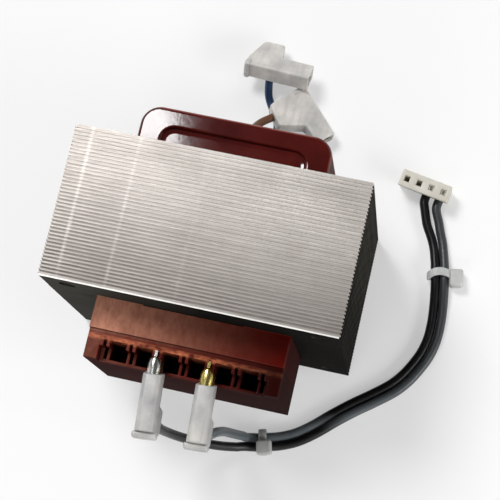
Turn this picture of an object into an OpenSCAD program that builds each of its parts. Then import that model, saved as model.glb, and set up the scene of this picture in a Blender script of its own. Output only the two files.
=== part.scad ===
// Mains transformer on an interleaved EI core, with shrouded coil, push-on terminals and loose leads.
// Origin: centre of the core's bottom face. +X along the core, +Y to the rear, +Z up. Millimetres.

/* [Core] */
// Width of the lamination outline; its legs, yokes and height follow from it
core_w = 84; // [78:6:90]
// Thickness of the stack of sheets
stack = 43.5; // [41:0.5:46]
// Number of sheets in the stack (odd, so that both outer sheets lie the same way)
sheet_count = 85; // [61:2:99]
// How far the edges of every second sheet stand back
sheet_step = 0.15; // [0.05:0.05:0.25]
// Gap where the legs of an E sheet meet its I sheet
joint_gap = 0.1; // [0.05:0.05:0.2]
// Diameter of the four corner holes
hole_d = 4.8; // [4:0.1:5.6]

/* [Coil] */
// Wall of the coil former's tube
former_wall = 1; // [0.8:0.1:1.4]
// Thickness of the coil former's two flanges
flange_t = 1.2; // [0.8:0.1:1.6]
// Build-up of the primary winding
primary_t = 3.9; // [3:0.1:4]
// Build-up of the insulation between the windings
barrier_t = 0.5; // [0.2:0.1:0.6]
// Build-up of the secondary winding
secondary_t = 3.8; // [3:0.1:3.9]
// Thickness of the wrap round the coil
wrap_t = 0.5; // [0.2:0.1:0.6]

/* [Shrouds] */
// Wall of the shrouds at the sides
shroud_wall = 2; // [1.6:0.1:2.2]
// Thickness of the shrouds' top and bottom plates
plate_t = 2.2; // [2:0.1:2.6]
// How far the rear shroud stands out from the core
rear_reach = 13.5; // [13:0.25:15]
// Radius of the rear shroud's upright corners
rear_corner_r = 5.75; // [3:0.25:7]
// Depth of the recess in the rear shroud's top
recess_depth = 1; // [0.4:0.1:1.4]
// How far the front shroud stands out from the core
front_reach = 17.25; // [17:0.25:18.5]
// Length of the plain panel in front of the core
panel_l = 9; // [7:0.25:9.5]
// How far the terminal row lies below the panel
ledge_drop = 1.2; // [0.6:0.1:1.6]

/* [Terminal row] */
// Number of terminal slots
slot_count = 7; // [5:2:7]
// Distance between neighbouring slots
slot_pitch = 7.5; // [7:0.1:7.6]
// Width of the open pockets between the slots
pocket_w = 4.7; // [4:0.1:4.8]
// Depth of the pockets below the ledge
pocket_depth = 10.6; // [9:0.2:14]
// Thickness of the lip along the front
lip_t = 1; // [0.8:0.1:1.2]

/* [Push-on terminals] */
// Width of the terminal tabs
tab_w = 4.8; // [4.4:0.1:4.8]
// Thickness of the terminal tabs
tab_t = 0.8; // [0.5:0.1:0.8]
// Thickness of the flag covers
cover_t = 5.4; // [5:0.1:6]
// Length of the flag covers
cover_l = 18.8; // [18.4:0.2:20]
// Sideways bend of the left tab, in degrees
left_bend = 4.5; // [0:0.5:6]
// Sideways bend of the right tab, in degrees
right_bend = 3.5; // [0:0.5:5]

/* [Leads] */
// Outer diameter of the black leads
black_d = 2.8; // [2.2:0.1:2.8]
// Outer diameter of the brown and blue leads
mains_d = 2.5; // [2:0.1:2.6]
// Width of the cable ties
tie_w = 2.4; // [2:0.1:3]
// Distance between neighbouring ways of the plug
plug_pitch = 3.96; // [3.8:0.02:4.1]
// Height of the plug housing
plug_h = 8; // [7:0.5:10]

/* [Hidden] */
$fn = 48;

// General clearance between pieces that are slipped together
fit = 0.2;
// Overlap that keeps cutting shapes clear of the faces they cut
cut = 1;

// Core: six leg widths across, five high
leg = core_w / 6;
core_h = 5 * leg;
sheet_t = stack / sheet_count;
window_z0 = leg;
window_z1 = core_h - leg;

// Coil chamber inside the two shrouds
shroud_x = 2 * leg - fit;
shroud_z0 = window_z0 + fit;
shroud_z1 = window_z1 - fit;
chamber_z0 = shroud_z0 + plate_t;
chamber_z1 = shroud_z1 - plate_t;
rear_y = stack / 2 + rear_reach;
front_y = -(stack / 2 + front_reach);

// Coil former: tube outside the centre leg, flanges above and below
tube_x = leg + fit + former_wall;
tube_y = stack / 2 + fit + former_wall;
former_z0 = chamber_z0 + fit;
former_z1 = chamber_z1 - fit;
coil_z0 = former_z0 + flange_t;
coil_z1 = former_z1 - flange_t;
barrier_r0 = primary_t;
secondary_r0 = barrier_r0 + barrier_t;
wrap_r0 = secondary_r0 + secondary_t;
coil_t = wrap_r0 + wrap_t;
flange_rim = 0.3;
flange_corner_r = 2;
winding_corner_r = 0.5;

// Recess in the rear shroud's top, set in from the sides, the rear and the core
recess_inset = [6.8, 5.5, 0.5];
recess_corner_r = 4;

// Terminal row: ledge, pockets and twin ribs, and the lip that leads pass over
panel_y = -(stack / 2 + panel_l);
ledge_z = shroud_z1 - ledge_drop;
chamber_front_wall = 1;
pocket_y0 = -(tube_y + coil_t + flange_rim + fit + chamber_front_wall);
pocket_y1 = front_y + lip_t;
pocket_z0 = ledge_z - pocket_depth;
pocket_edge_r = 0.9;
slot_w = tab_t + 0.1;
slot_floor_gap = 2;
rib_l = 1.8;
rib_low_z = ledge_z - 4.4;
bend_y = pocket_y0 - rib_l;

// Push-on terminals; in their own frame the tab enters along -Y and the lead leaves along -Z
roll_margin = 0.4;
receptacle_h = tab_w + 2 * roll_margin;
receptacle_t = 3.4;
front_nose = 3.8;
rear_nose = -0.6;
tab_play = 0.05;
receptacle_l = 7.8;
nose_l = 1.6;
nose_r = 0.9;
web_t = 2.4;
neck_w = 4;
neck_t = 0.6;
blade_l = 7.6;
mouth_gap = 4;
cover_wall = 0.6;
cover_half_h = receptacle_h / 2 + cover_wall;
tab_z = rib_low_z + cover_half_h + fit;
cover_step_y = 9.2;
hump_slope = 0.6;
hump_reach = 9.8;
hump_end_y = 16.2;
cover_bevel_z = 1.8;
cover_slope = 1.6;
cover_lip_t = 1;
cover_lip_out = 0.4;
barrel_y = 12.7;
barrel_r = 1.35;
barrel_top = 2.5;
barrel_bottom = 6.5;
bore_r = (max(black_d, mains_d) + fit) / 2;

// Cable ties
tie_t = 0.9;
tie_slack = 0.2;
tie_head = [4.6, 3.4, 4.2];
pair_gap = 0.3;
pair_w = 2 * black_d + pair_gap;

// Plug: four ways, leads in the last two
ways = 4;
used_ways = [2, 3];
plug_l = ways * plug_pitch;
plug_depth = 5.4;
plug_cavity = 2.4;
plug_cavity_depth = 5;
plug_lead_z = 2.2;
plug_lead_hole = 3;
plug_at = [52.8, 78.6];
plug_turn = -10;
contact_w = 2;
contact_bore = 1.2;
contact_drop = 0.6;
contact_floor = 1;
key_w = 1.2;
key_out = 0.7;
key_drop = 1.5;

// Rear flag covers: place of the mouth behind the rear shroud, heading, and roll about the long
// axis. The brown one lies on its straight side's edge, the blue one on its deep end's edge.
brown_at = [19.1, 13];
brown_turn = -137;
brown_roll = 14;
brown_z = (cover_t / 2 + cover_lip_out) * cos(brown_roll) + cover_half_h * sin(brown_roll);
blue_at = [10.8, 31.2];
blue_turn = -93;
blue_roll = 34;
blue_z = cover_t / 2 * cos(blue_roll) + hump_reach * sin(blue_roll);
brown_exit = [-3, 21];
blue_exit = [-3, 17.6];

// Routes of the leads. Black ones are measured from the front shroud's face and the floor, the
// brown and blue ones from the rear shroud's face. Each begins at its own terminal or exit.
left_route = [
    [-5.4, -13.4, 34], [-3.9, -13.5, 27], [-0.8, -13.5, 20], [4, -13.3, 13.8], [9.5, -12.6, 8.5],
    [14.8, -11.4, 4.4], [19.6, -10.25, 2.6], [22.6, -9.5, 2.4], [26.8, -8.1, 1.6], [31.6, -5.8, 1.5],
    [36.4, -2.2, 1.5], [41.5, 2.5, 1.5], [46.6, 6.8, 1.5], [51.8, 10.8, 1.5], [56.8, 15, 1.5],
    [60.2, 19, 1.5], [62.8, 23.4, 1.5], [64.8, 28, 1.5], [65.9, 33, 1.5], [66.1, 38.5, 1.5],
    [65.7, 44, 1.6], [65, 49.2, 2.2], [64.2, 53.5, 2.5], [63.2, 58, 2], [61.8, 63.2, 1.6],
    [59.5, 68.6, 1.8]
];
right_route = [
    [8.9, -12.2, 34], [9.8, -10.4, 27], [11, -9.2, 20.5], [12.4, -8.7, 14.5], [14.2, -8.3, 9],
    [16.2, -7.9, 4.9], [19.1, -7.28, 2.6], [22.2, -6.45, 2.4], [25.8, -5.3, 1.6], [30, -3.2, 1.5],
    [34.4, 0.1, 1.5], [39.4, 4.7, 1.5], [44.6, 9.1, 1.5], [49.8, 13.1, 1.5], [54.6, 17.1, 1.5],
    [57.7, 20.8, 1.5], [60.1, 24.9, 1.5], [61.9, 29, 1.5], [62.9, 33.3, 1.5], [63.1, 38.3, 1.5],
    [62.7, 43.6, 1.6], [62, 48.7, 2.2], [61.2, 53, 2.5], [60.2, 57.4, 2], [58.4, 62.5, 1.6],
    [55.4, 68.4, 1.8]
];
brown_route = [[-2.9, 4.4, 19.6], [-2.5, 7.8, 16.6], [-2, 10.6, 13], [-1.5, 13, 9.9], [-0.6, 14.9, 8]];
blue_route = [
    [-2.6, 3.8, 13], [-1.4, 6, 8.6], [0.4, 8.4, 4.8], [2.2, 11.2, 2.2], [3.2, 14.2, 1.3],
    [2.8, 17, 1.4], [1.5, 19.4, 1.5], [0.1, 21.4, 2.2], [-1, 23.2, 4.1], [-1.7, 24.9, 7]
];
front_tie_at = [21.1, -8.35, 2.5];
front_tie_turn = 15;
side_tie_at = [62.7, 53.25, 2.5];
side_tie_turn = 101;

// Front edge of a sheet, and whether its yoke is the upper one
function sheet_y(k) = -stack / 2 + k * sheet_t;
function yoke_up(k) = k % 2 == 1;
function sheet_top(k) = yoke_up(k) ? core_h : window_z1;
function sheet_bottom(k) = yoke_up(k) ? window_z0 : 0;
function sheet_half_w(k) = core_w / 2 - (yoke_up(k) ? 0 : sheet_step);

// Stepped outline of the stack: low(k) to high(k) for each sheet in turn
function stepped(high, low) = concat(
    [for (k = [0 : sheet_count - 1], s = [0, 1]) [sheet_y(k + s), high(k)]],
    [for (k = [sheet_count - 1 : -1 : 0], s = [1, 0]) [sheet_y(k + s), low(k)]]
);

function unit(v) = v / norm(v);
function rotated(p, turn) = [
    p[0] * cos(turn) - p[1] * sin(turn), p[0] * sin(turn) + p[1] * cos(turn), p[2]
];

// Direction of a route at point i, and an across direction carried along it without twist
function heading(route, i) =
    i == 0 ? unit(route[1] - route[0])
    : i == len(route) - 1 ? unit(route[i] - route[i - 1])
    : unit(unit(route[i + 1] - route[i]) + unit(route[i] - route[i - 1]));
function square_to(v, t) = unit(v - (v * t) * t);
function across(route, i) =
    i == 0 ? square_to(abs(heading(route, 0)[0]) < 0.8 ? [1, 0, 0] : [0, 1, 0], heading(route, 0))
    : square_to(across(route, i - 1), heading(route, i));

// Ring of corners round point i of a route
lead_sides = 8;
function ring(route, i, a, r) = [
    for (s = [0 : lead_sides - 1])
        route[i] + r * (cos(360 * s / lead_sides) * a
            + sin(360 * s / lead_sides) * cross(heading(route, i), a))
];

module lead(route, d) {
    corners = [for (i = [0 : len(route) - 1]) each ring(route, i, across(route, i), d / 2)];
    last = (len(route) - 1) * lead_sides;
    sides = [
        for (i = [0 : len(route) - 2], s = [0 : lead_sides - 1])
            let (n = (s + 1) % lead_sides, b = i * lead_sides)
                [b + s, b + lead_sides + s, b + lead_sides + n, b + n]
    ];
    near_end = [for (s = [0 : lead_sides - 1]) s];
    far_end = [for (s = [lead_sides - 1 : -1 : 0]) last + s];
    polyhedron(corners, concat(sides, [near_end, far_end]), convexity = 10);
}

// Rectangle with round corners, centred
module rounded(size, r) {
    square([size[0] - 2 * r, size[1]], center = true);
    square([size[0], size[1] - 2 * r], center = true);
    for (x = [-1, 1], y = [-1, 1])
        translate([x * (size[0] / 2 - r), y * (size[1] / 2 - r)])
            circle(r);
}

// One layer round the former's tube, between two build-ups
module coil_layer(inner, outer) {
    translate([0, 0, coil_z0])
        linear_extrude(coil_z1 - coil_z0)
            difference() {
                rounded([2 * (tube_x + outer), 2 * (tube_y + outer)], outer + winding_corner_r);
                if (inner > 0)
                    rounded([2 * (tube_x + inner), 2 * (tube_y + inner)], inner + winding_corner_r);
                else
                    square([2 * tube_x, 2 * tube_y], center = true);
            }
}

// The four corner holes of the core, on the centres of legs and yokes
module corner_holes() {
    for (x = [-1, 1], z = [leg / 2, core_h - leg / 2])
        translate([x * (core_w - leg) / 2, 0, z])
            rotate([90, 0, 0])
                cylinder(h = stack + 2 * cut, d = hole_d, center = true);
}

module e_laminations() {
    top = function (k) sheet_top(k);
    bottom = function (k) sheet_bottom(k);
    right = function (k) sheet_half_w(k);
    left = function (k) -sheet_half_w(k);
    color("darkgray")
        difference() {
            intersection() {
                rotate([90, 0, 90])
                    linear_extrude(core_w + 2 * cut, center = true)
                        polygon(stepped(top, bottom));
                linear_extrude(core_h)
                    rotate(90)
                        polygon(stepped(right, left));
            }
            for (x = [-1, 1])
                translate([x * 1.5 * leg, 0, core_h / 2])
                    cube([leg, stack + 2 * cut, window_z1 - window_z0], center = true);
            corner_holes();
        }
}

module i_laminations() {
    bar = [core_w - 4 * sheet_step, sheet_t, leg - joint_gap - sheet_step];
    color("gray")
        for (k = [0 : sheet_count - 1])
            difference() {
                translate([-bar[0] / 2, sheet_y(k), yoke_up(k) ? sheet_step : window_z1 + joint_gap])
                    cube(bar);
                corner_holes();
            }
}

module coil_former() {
    rim = coil_t + flange_rim;
    color("ivory")
        difference() {
            union() {
                translate([-tube_x, -tube_y, former_z0])
                    cube([2 * tube_x, 2 * tube_y, former_z1 - former_z0]);
                for (z = [former_z0, coil_z1])
                    translate([0, 0, z])
                        linear_extrude(flange_t)
                            rounded([2 * (tube_x + rim), 2 * (tube_y + rim)], flange_corner_r);
            }
            translate([0, 0, core_h / 2])
                cube([2 * (leg + fit), stack + 2 * fit, core_h], center = true);
        }
}

module primary_winding() {
    color("peru")
        coil_layer(0, primary_t);
}

module winding_barrier() {
    color("khaki")
        coil_layer(barrier_r0, secondary_r0);
}

module secondary_winding() {
    color("chocolate")
        coil_layer(secondary_r0, wrap_r0);
}

module outer_wrap() {
    color("goldenrod")
        coil_layer(wrap_r0, coil_t);
}

// Side cheeks of a shroud, which run through the core's windows to its middle
module cheeks(side) {
    length = stack / 2 + fit;
    for (x = [-1, 1])
        translate([x * (shroud_x + leg + fit) / 2, side * (length + fit / 2) / 2, core_h / 2])
            cube([shroud_x - leg - fit, length - fit / 2, shroud_z1 - shroud_z0], center = true);
}

// Space for the coil inside a shroud, out to a depth from the core's middle
module chamber(depth, side) {
    translate([0, side * (depth - cut) / 2, core_h / 2])
        cube([2 * (shroud_x - shroud_wall), depth + cut, chamber_z1 - chamber_z0], center = true);
}

module rear_shroud() {
    start = stack / 2 + fit;
    recess_y = start + recess_inset[2];
    recess = [2 * (shroud_x - recess_inset[0]), 2 * (rear_y - recess_inset[1] - recess_y)];
    color("maroon")
        difference() {
            union() {
                cheeks(1);
                translate([0, 0, shroud_z0])
                    linear_extrude(shroud_z1 - shroud_z0)
                        intersection() {
                            translate([0, rear_y - 2 * rear_reach])
                                rounded([2 * shroud_x, 4 * rear_reach], rear_corner_r);
                            translate([-2 * shroud_x, start])
                                square([4 * shroud_x, 2 * rear_reach]);
                        }
            }
            chamber(rear_y - shroud_wall, 1);
            translate([0, recess_y, shroud_z1 - recess_depth])
                linear_extrude(recess_depth + cut)
                    intersection() {
                        rounded(recess, recess_corner_r);
                        translate([-recess[0], 0])
                            square([2 * recess[0], recess[1]]);
                    }
            for (exit = [brown_exit, blue_exit])
                translate([exit[0], rear_y, exit[1]])
                    rotate([90, 0, 0])
                        cylinder(h = 3 * shroud_wall, d = mains_d + fit, center = true);
        }
}

function slot_x(i) = (i - (slot_count - 1) / 2) * slot_pitch;

// Pockets between the terminal slots, with a rounded upper edge at the back
module pockets() {
    for (i = [0 : slot_count - 2]) {
        x = (slot_x(i) + slot_x(i + 1)) / 2 - pocket_w / 2;
        translate([x, pocket_y1, pocket_z0])
            cube([pocket_w, pocket_y0 - pocket_y1, pocket_depth + cut]);
        translate([x, pocket_y0 - cut, ledge_z - pocket_edge_r])
            difference() {
                cube([pocket_w, cut + pocket_edge_r, pocket_edge_r + cut]);
                translate([-cut, cut + pocket_edge_r, 0])
                    rotate([0, 90, 0])
                        cylinder(h = pocket_w + 2 * cut, r = pocket_edge_r);
            }
    }
}

module front_shroud() {
    start = stack / 2 + fit;
    row_half = slot_x(slot_count - 1) + slot_pitch / 2 - pocket_w / 2;
    color("maroon")
        difference() {
            union() {
                cheeks(-1);
                translate([-shroud_x, front_y, shroud_z0])
                    cube([2 * shroud_x, -start - front_y, shroud_z1 - shroud_z0]);
            }
            chamber(-pocket_y0 - chamber_front_wall, -1);
            translate([-shroud_x - cut, front_y - cut, ledge_z])
                cube([2 * (shroud_x + cut), panel_y - front_y + cut, ledge_drop + cut]);
            pockets();
            translate([-row_half, front_y - cut, rib_low_z])
                cube([2 * row_half, bend_y - front_y + cut, pocket_depth]);
            for (i = [0 : slot_count - 1])
                translate([slot_x(i) - slot_w / 2, pocket_y1, pocket_z0 + slot_floor_gap])
                    cube([slot_w, pocket_y0 - pocket_y1, pocket_depth]);
        }
}

// Places children at a front terminal: in its slot, turned with the bent tab
module at_tab(side, bend) {
    translate([side * slot_pitch, bend_y, tab_z])
        rotate(bend)
            children();
}

// Tab: a root held between the twin ribs, down into the slot, and a blade bent sideways in front
module tab(side, bend) {
    root_z0 = pocket_z0 + slot_floor_gap;
    root_l = rib_l - fit;
    tip = [for (x = [-1, 1]) rotated([x * tab_t / 2, -blade_l, 0], bend)];
    outline = [
        [-tab_t / 2, root_l], [-tab_t / 2, 0], [tip[0][0], tip[0][1]], [tip[1][0], tip[1][1]],
        [tab_t / 2, 0], [tab_t / 2, root_l]
    ];
    translate([side * slot_pitch, bend_y, tab_z - tab_w / 2])
        linear_extrude(tab_w)
            polygon(outline);
    translate([side * slot_pitch - tab_t / 2, bend_y, root_z0])
        cube([tab_t, root_l, tab_z - root_z0]);
}

module left_tab() {
    color("silver")
        tab(-1, left_bend);
}

module right_tab() {
    color("gold")
        tab(1, right_bend);
}

// Receptacle: two rolled edges over the tab, a neck and the crimped barrel across its end.
// Its nose stands out of the cover's mouth, or lies inside where it is less than 0.
module receptacle(nose) {
    roll_r = receptacle_t / 2;
    roll_z = receptacle_h / 2 - roll_r;
    roll_end = nose - receptacle_l;
    half_roll = [[0, 0], [nose_r, 0], [roll_r, nose_l], [roll_r, receptacle_l], [0, receptacle_l]];
    difference() {
        union() {
            for (z = [-roll_z, roll_z])
                translate([0, nose, z])
                    rotate([90, 0, 0])
                        rotate_extrude()
                            polygon(half_roll);
            translate([-web_t / 2, roll_end, -roll_z])
                cube([web_t, receptacle_l - nose_l, 2 * roll_z]);
            translate([-neck_t / 2, -barrel_y, -neck_w / 2])
                cube([neck_t, barrel_y + roll_end + fit, neck_w]);
            translate([0, -barrel_y, -barrel_bottom])
                cylinder(h = barrel_bottom + barrel_top, r = barrel_r);
        }
        translate([-tab_t / 2 - tab_play, nose - blade_l, -tab_w / 2 - tab_play])
            cube([tab_t + 2 * tab_play, blade_l + cut, tab_w + 2 * tab_play]);
    }
}

// Flag cover: flat sleeve with a deep end that holds the barrel. The lead leaves at the deep end,
// or else at the straight side.
module flag_cover(at_deep_end) {
    h = cover_half_h;
    outline = [
        [0, -h], [0, h], [cover_slope - cover_l, h], [-cover_l, h - cover_slope],
        [-cover_l, -cover_bevel_z], [-hump_end_y, -hump_reach],
        [-cover_step_y - hump_slope, -hump_reach], [-cover_step_y, -h]
    ];
    difference() {
        union() {
            translate([-cover_t / 2, 0, 0])
                rotate([90, 0, 90])
                    linear_extrude(cover_t)
                        polygon(outline);
            translate([-cover_t / 2 - cover_lip_out, -cover_l, -cover_bevel_z])
                cube([cover_t + 2 * cover_lip_out, cover_lip_t, cover_bevel_z + h - cover_slope]);
        }
        translate([-receptacle_t / 2 - fit, -barrel_y, -receptacle_h / 2 - fit])
            cube([receptacle_t + 2 * fit, barrel_y + cut, receptacle_h + 2 * fit]);
        translate([0, -barrel_y, at_deep_end ? -hump_reach - cut : -barrel_bottom - fit])
            cylinder(h = at_deep_end ? hump_reach + cut + barrel_top + fit : barrel_bottom + fit + h + cut,
                r = bore_r);
    }
}

module left_receptacle() {
    color("silver")
        at_tab(-1, left_bend)
            translate([0, -mouth_gap, 0])
                receptacle(front_nose);
}

module right_receptacle() {
    color("gold")
        at_tab(1, right_bend)
            translate([0, -mouth_gap, 0])
                receptacle(front_nose);
}

module left_cover() {
    color("whitesmoke")
        at_tab(-1, left_bend)
            translate([0, -mouth_gap, 0])
                flag_cover(true);
}

module right_cover() {
    color("whitesmoke")
        at_tab(1, right_bend)
            translate([0, -mouth_gap, 0])
                flag_cover(true);
}

// Brown cover, its deep end raised towards the shroud over the blue lead
module at_brown() {
    translate([brown_at[0], rear_y + brown_at[1], brown_z])
        rotate(brown_turn)
            rotate([0, -90 - brown_roll, 0])
                children();
}

// Blue cover, its straight side raised towards the shroud
module at_blue() {
    translate([blue_at[0], rear_y + blue_at[1], blue_z])
        rotate(blue_turn)
            rotate([0, 90 - blue_roll, 0])
                children();
}

module brown_receptacle() {
    color("silver")
        at_brown()
            receptacle(rear_nose);
}

module brown_cover() {
    color("whitesmoke")
        at_brown()
            flag_cover(true);
}

module blue_receptacle() {
    color("silver")
        at_blue()
            receptacle(rear_nose);
}

module blue_cover() {
    color("whitesmoke")
        at_blue()
            flag_cover(false);
}

// Point of a front terminal's lead passage at a height below the tab's middle
function front_passage(side, bend, down) =
    [side * slot_pitch, bend_y, tab_z] + rotated([0, -mouth_gap - barrel_y, -down], bend);
// Point of the plug's way i at its lead hole, a distance inside its front
function plug_way(i, inside) =
    [plug_at[0], front_y + plug_at[1], plug_lead_z]
    + rotated([(i - (ways - 1) / 2) * plug_pitch, inside - plug_depth / 2, 0], plug_turn);
// Point of a rear cover's lead passage, a distance from its axis towards the straight side
function brown_passage(up) =
    [brown_at[0], rear_y + brown_at[1], brown_z]
    + rotated([-up * cos(brown_roll), -barrel_y, -up * sin(brown_roll)], brown_turn);
function blue_passage(up) =
    [blue_at[0], rear_y + blue_at[1], blue_z]
    + rotated([up * cos(blue_roll), -barrel_y, up * sin(blue_roll)], blue_turn);

function from_face(route, y) = [for (p = route) p + [0, y, 0]];
passage_run = 1;
front_run = 2;
plug_run = 1.4;
plug_hole_l = 1.6;

function black_lead(side, bend, route, way) = concat(
    [front_passage(side, bend, barrel_bottom), front_passage(side, bend, hump_reach + front_run)],
    from_face(route, front_y),
    [plug_way(way, -plug_run), plug_way(way, plug_hole_l)]
);

module left_lead() {
    color("black")
        lead(black_lead(-1, left_bend, left_route, used_ways[1]), black_d);
}

module right_lead() {
    color("black")
        lead(black_lead(1, right_bend, right_route, used_ways[0]), black_d);
}

function wall_exit(exit, out) = [exit[0], rear_y + out, exit[1]];

module brown_lead() {
    route = concat(
        [wall_exit(brown_exit, -shroud_wall), wall_exit(brown_exit, 1)],
        from_face(brown_route, rear_y),
        [brown_passage(-hump_reach - passage_run), brown_passage(-barrel_bottom)]
    );
    color("saddlebrown")
        lead(route, mains_d);
}

module blue_lead() {
    route = concat(
        [wall_exit(blue_exit, -shroud_wall), wall_exit(blue_exit, 1)],
        from_face(blue_route, rear_y),
        [blue_passage(cover_half_h + passage_run), blue_passage(barrel_top)]
    );
    color("midnightblue")
        lead(route, mains_d);
}

// Cable tie round the two black leads. Its head has the strap's slot and sits on the loop, turned
// from the outer side towards the top.
module tie(at, turn, head_at, head_turn) {
    inner = [pair_w + tie_slack, black_d + tie_slack];
    outer = inner + 2 * [tie_t, tie_t];
    color("gainsboro")
        translate([at[0], front_y + at[1], at[2]])
            rotate(turn)
                difference() {
                    union() {
                        rotate([90, 0, 90])
                            linear_extrude(tie_w, center = true)
                                rounded(outer, black_d / 2 + tie_t);
                        translate(head_at)
                            rotate([head_turn, 0, 0])
                                cube(tie_head, center = true);
                    }
                    rotate([90, 0, 90])
                        linear_extrude(tie_head[0] + 2 * cut, center = true)
                            rounded(inner, black_d / 2);
                    translate(head_at)
                        rotate([head_turn, 0, 0])
                            cube([tie_w + fit, tie_t + fit, 2 * tie_head[2]], center = true);
                }
}

module front_tie() {
    tie(front_tie_at, front_tie_turn, [0.5, -1.9, black_d / 2 + tie_slack + tie_head[1] / 2], 90);
}

module side_tie() {
    tie(side_tie_at, side_tie_turn, [0, -pair_w / 2 - tie_slack - tie_head[1] / 2, 0], 0);
}

// Places children at each of the listed ways of the plug, in the plug's own turn
module at_ways(list) {
    translate([plug_at[0], front_y + plug_at[1], 0])
        rotate(plug_turn)
            for (i = list)
                translate([(i - (ways - 1) / 2) * plug_pitch, 0, 0])
                    children();
}

module plug_housing() {
    color("ivory")
        difference() {
            translate([plug_at[0], front_y + plug_at[1], 0])
                rotate(plug_turn)
                    union() {
                        translate([-plug_l / 2, -plug_depth / 2, 0])
                            cube([plug_l, plug_depth, plug_h]);
                        for (x = [-1, 1])
                            translate([x * plug_pitch - key_w / 2, 0, 0])
                                cube([key_w, plug_depth / 2 + key_out, plug_h - key_drop]);
                    }
            at_ways([0 : ways - 1]) {
                translate([0, 0, plug_h - plug_cavity_depth / 2 + cut / 2])
                    cube([plug_cavity, plug_cavity, plug_cavity_depth + cut], center = true);
                translate([0, -plug_depth / 2, plug_lead_z])
                    rotate([90, 0, 0])
                        cylinder(h = 2 * plug_hole_l, d = plug_lead_hole, center = true);
            }
        }
}

module plug_contacts() {
    length = plug_cavity_depth - contact_drop;
    color("silver")
        at_ways(used_ways)
            translate([0, 0, plug_h - plug_cavity_depth])
                difference() {
                    translate([-contact_w / 2, -contact_w / 2, 0])
                        cube([contact_w, contact_w, length]);
                    translate([-contact_bore / 2, -contact_bore / 2, contact_floor])
                        cube([contact_bore, contact_bore, length]);
                }
}

e_laminations();
i_laminations();
coil_former();
primary_winding();
winding_barrier();
secondary_winding();
outer_wrap();
front_shroud();
rear_shroud();
left_tab();
right_tab();
left_receptacle();
right_receptacle();
left_cover();
right_cover();
left_lead();
right_lead();
front_tie();
side_tie();
plug_housing();
plug_contacts();
brown_receptacle();
brown_cover();
brown_lead();
blue_receptacle();
blue_cover();
blue_lead();
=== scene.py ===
"""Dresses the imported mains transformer: moulded shrouds, steel core, flag covers, leads, ties and plug.

Shapes are worked out in millimetres in the part's own frame and become metres as pieces."""

import bmesh
import bpy
import numpy as np
from mathutils import Matrix


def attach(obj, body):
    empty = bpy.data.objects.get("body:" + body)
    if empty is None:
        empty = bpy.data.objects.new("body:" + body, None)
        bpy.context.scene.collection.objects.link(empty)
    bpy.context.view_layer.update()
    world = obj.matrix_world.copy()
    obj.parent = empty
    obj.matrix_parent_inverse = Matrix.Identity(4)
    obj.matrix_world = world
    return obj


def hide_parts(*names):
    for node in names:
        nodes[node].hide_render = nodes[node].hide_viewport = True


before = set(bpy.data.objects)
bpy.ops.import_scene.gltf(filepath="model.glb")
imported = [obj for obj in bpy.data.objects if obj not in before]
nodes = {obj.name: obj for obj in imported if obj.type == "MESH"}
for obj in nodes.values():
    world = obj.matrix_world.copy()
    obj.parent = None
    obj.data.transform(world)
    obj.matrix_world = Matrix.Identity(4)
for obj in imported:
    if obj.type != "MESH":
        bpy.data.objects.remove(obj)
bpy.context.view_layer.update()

MM = 0.001
STACK, SHEETS, CORE_TOP = 43.5, 85, 70.0
SHEET_T = STACK / SHEETS
CORE_GAP_Y = STACK / 2 + 0.2
FRONT_Y, REAR_Y = -39.0, 35.25
SHROUD_X, SHROUD_Z0, SHROUD_Z1 = 27.8, 14.2, 55.8
CHEEK_X = 14.2
BLACK_D, MAINS_D = 2.8, 2.5

# How far grid lines stand off a steep wall, and the angle in degrees past which an edge is sharp
WALL = 0.012
CREASE = 38


# Shapes

def rounded_ring(x0, x1, y0, y1, radii, steps=6):
    """Rounded rectangle: a quarter circle of its own radius at each corner, walked anticlockwise
    from the corner at x1, y0."""
    r = np.broadcast_to(np.asarray(radii, float), 4)[:, None]
    angle = np.array([-0.5, 0.0, 0.5, 1.0])[:, None] * np.pi + np.linspace(0, np.pi / 2, steps + 1)
    centre_x = np.array([x1, x1, x0, x0])[:, None] + r * np.array([[-1], [-1], [1], [1]])
    centre_y = np.array([y0, y1, y1, y0])[:, None] + r * np.array([[1], [-1], [-1], [1]])
    ring = np.stack([centre_x + r * np.cos(angle), centre_y + r * np.sin(angle)], -1)
    return ring.reshape(-1, 2)


def quads(rows, cols, wrap_rows=False, wrap_cols=True):
    """Four-sided faces between neighbouring points of a grid, joined across the seam where it wraps."""
    r, c = np.meshgrid(np.arange(rows - (not wrap_rows)), np.arange(cols - (not wrap_cols)), indexing="ij")
    r1, c1 = (r + 1) % rows, (c + 1) % cols
    return np.stack([r * cols + c, r * cols + c1, r1 * cols + c1, r1 * cols + c], -1).reshape(-1, 4).tolist()


def loft(rings):
    """Closed skin over a row of rings with equal point counts, with a flat face on each end ring."""
    rings = np.asarray(rings, float)
    rows, cols = rings.shape[:2]
    faces = quads(rows, cols)
    faces.append(list(range(cols))[::-1])
    faces.append(list(range((rows - 1) * cols, rows * cols)))
    return rings.reshape(-1, 3), faces


def stacked(outlines, heights):
    """Rings for loft: each flat outline lifted to its own height."""
    return [np.column_stack([o, np.full(len(o), h)]) for o, h in zip(outlines, heights)]


def standing(outline, y):
    """Ring for loft: an outline in X and Z stood up at a place along Y."""
    return np.insert(outline, 1, y, axis=1)


def quarter(steps):
    """How far a rounded edge has gone in (one minus the cosine) and risen (the sine) over a quarter turn."""
    angle = np.linspace(0, np.pi / 2, steps + 1)
    return 1 - np.cos(angle), np.sin(angle)


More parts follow.
